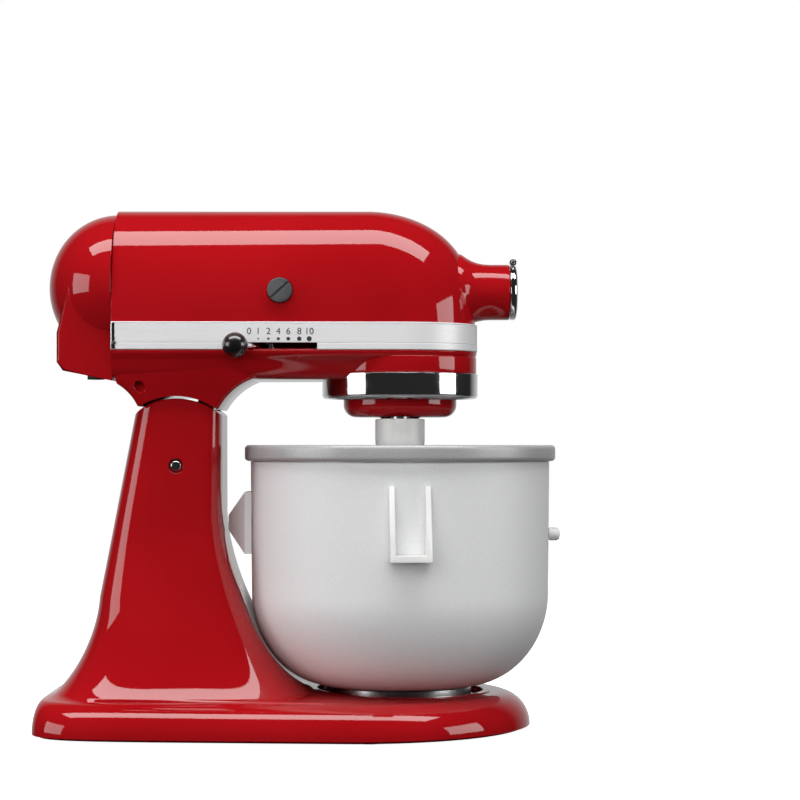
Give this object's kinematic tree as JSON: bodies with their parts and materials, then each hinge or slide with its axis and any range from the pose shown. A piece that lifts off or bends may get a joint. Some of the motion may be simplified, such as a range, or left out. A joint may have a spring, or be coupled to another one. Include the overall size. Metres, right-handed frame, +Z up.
{
  "type": "ice cream maker",
  "caption": "Tilt-head stand mixer in red enamel carrying an insulated freeze bowl with its drive coupler and dasher for churning ice cream.",
  "frame": {"origin": "bottom centre of the bounding box, on the surface that the feet rest on", "axes": "+X towards the attachment hub at the front, -Y the side with the speed lever, +Z up"},
  "size_m": [0.3538, 0.2452, 0.353],
  "materials": {
    "enamel": "glossy red enamel on the castings",
    "chrome": "polished",
    "steel": "machined",
    "band": "satin trim band",
    "bowl_grey": "satin light grey",
    "bowl_liner": "smooth satin",
    "rim_grey": "satin grey",
    "white_plastic": "satin",
    "black_plastic": "high gloss",
    "slate_plastic": "satin",
    "rubber": "matte",
    "iron": "plain",
    "copper": "bright",
    "bronze": "plain"
  },
  "bodies": {
    "base": {"pedestal": "enamel", "rubber_foot_1": "rubber", "rubber_foot_2": "rubber", "rubber_foot_3": "rubber", "rubber_foot_4": "rubber", "rubber_foot_5": "rubber", "bowl_clamp_plate": "chrome", "clamp_screw_1": "steel", "clamp_screw_2": "steel", "clamp_screw_3": "steel", "hinge_pin": "chrome"},
    "head": {"upper_housing": "enamel", "lower_gearcase": "enamel", "rear_cover": "enamel", "rear_cover_screw": "steel", "trim_band": "band", "trim_band_screw": "steel", "drip_ring": "chrome", "brush_cap_near": "slate_plastic", "brush_cap_far": "slate_plastic", "carbon_brush_near": "iron", "carbon_brush_far": "iron", "front_armature_bearing": "bronze", "rear_armature_bearing": "bronze", "motor_field": "iron", "speed_control_plate": "slate_plastic", "cord_gland": "rubber", "hub_hinge_pin": "steel", "ring_gear": "iron"},
    "planetary": {"planetary_hub": "enamel", "planetary_pin": "steel", "center_shaft": "steel", "center_gear": "steel", "center_bevel_gear": "steel", "drive_coupler": "white_plastic"},
    "beater": {"beater_shaft": "steel", "beater_pin": "steel", "beater_pinion": "steel"},
    "idler": {"pinion_shaft": "steel", "worm_wheel": "bronze"},
    "armature": {"armature_shaft": "steel", "armature_core": "copper", "commutator": "copper", "cooling_fan": "slate_plastic"},
    "hub_drive": {"hub_bevel_gear": "steel"},
    "hub_flap": {"hub_cover": "chrome"},
    "hub_knob": {"attachment_knob": "black_plastic"},
    "speed_control": {"speed_lever": "chrome", "speed_knob": "black_plastic"},
    "head_lock": {"lock_lever": "chrome", "lock_knob": "black_plastic"},
    "freeze_bowl": {"bowl_shell": "bowl_grey", "bowl_liner": "bowl_liner", "bowl_rim": "rim_grey", "bowl_foot": "rim_grey", "side_bracket_near": "bowl_grey", "side_bracket_far": "bowl_grey", "rear_bracket": "rim_grey", "front_stud": "white_plastic"},
    "dasher": {"dasher": "white_plastic"}
  },
  "joints": [
    {"name": "head_tilt", "type": "hinge", "parent": "base", "child": "head", "pos_m": [-0.08295, 0, 0.179], "axis": [0, -1, 0], "range_deg": [0, 45]},
    {"name": "planetary_spin", "type": "hinge", "parent": "head", "child": "planetary", "pos_m": [0.06705, 0, 0.212], "axis": [0, 0, 1], "continuous": true},
    {"name": "beater_spin", "type": "hinge", "parent": "planetary", "child": "beater", "pos_m": [0.06705, -0.026, 0.212], "axis": [0, 0, 1], "continuous": true},
    {"name": "idler_spin", "type": "hinge", "parent": "head", "child": "idler", "pos_m": [0.02747, 0.02142, 0.258], "axis": [0, 0, 1], "continuous": true},
    {"name": "armature_spin", "type": "hinge", "parent": "head", "child": "armature", "pos_m": [0.06705, 0, 0.296], "axis": [1, 0, 0], "continuous": true},
    {"name": "hub_drive_spin", "type": "hinge", "parent": "head", "child": "hub_drive", "pos_m": [0.06705, 0, 0.2977], "axis": [1, 0, 0], "continuous": true},
    {"name": "hub_cover_flap", "type": "hinge", "parent": "head", "child": "hub_flap", "pos_m": [0.14455, 0, 0.3181], "axis": [0, -1, 0], "range_deg": [0, 100]},
    {"name": "attachment_knob_turn", "type": "hinge", "parent": "head", "child": "hub_knob", "pos_m": [0.13105, 0, 0.2977], "axis": [0, 1, 0], "continuous": true},
    {"name": "speed_lever_slide", "type": "slide", "parent": "head", "child": "speed_control", "axis": [1, 0, 0], "range_m": [0, 0.04]},
    {"name": "head_lock_slide", "type": "slide", "parent": "head", "child": "head_lock", "axis": [1, 0, 0], "range_m": [0, 0.022]},
    {"name": "bowl_twist", "type": "hinge", "parent": "base", "child": "freeze_bowl", "pos_m": [0.06705, 0, 0.029], "axis": [0, 0, 1], "range_deg": [0, 25]},
    {"name": "dasher_spin", "type": "hinge", "parent": "base", "child": "dasher", "pos_m": [0.06705, 0, 0.042], "axis": [0, 0, 1], "continuous": true}
  ],
  "couplings": [
    {"joint": "beater_spin", "follows": "planetary_spin", "ratio": -3.1667},
    {"joint": "idler_spin", "follows": "planetary_spin", "ratio": -3.0909},
    {"joint": "armature_spin", "follows": "planetary_spin", "ratio": 30.909},
    {"joint": "hub_drive_spin", "follows": "planetary_spin", "ratio": 1.6667},
    {"joint": "dasher_spin", "follows": "planetary_spin", "ratio": 1}
  ]
}
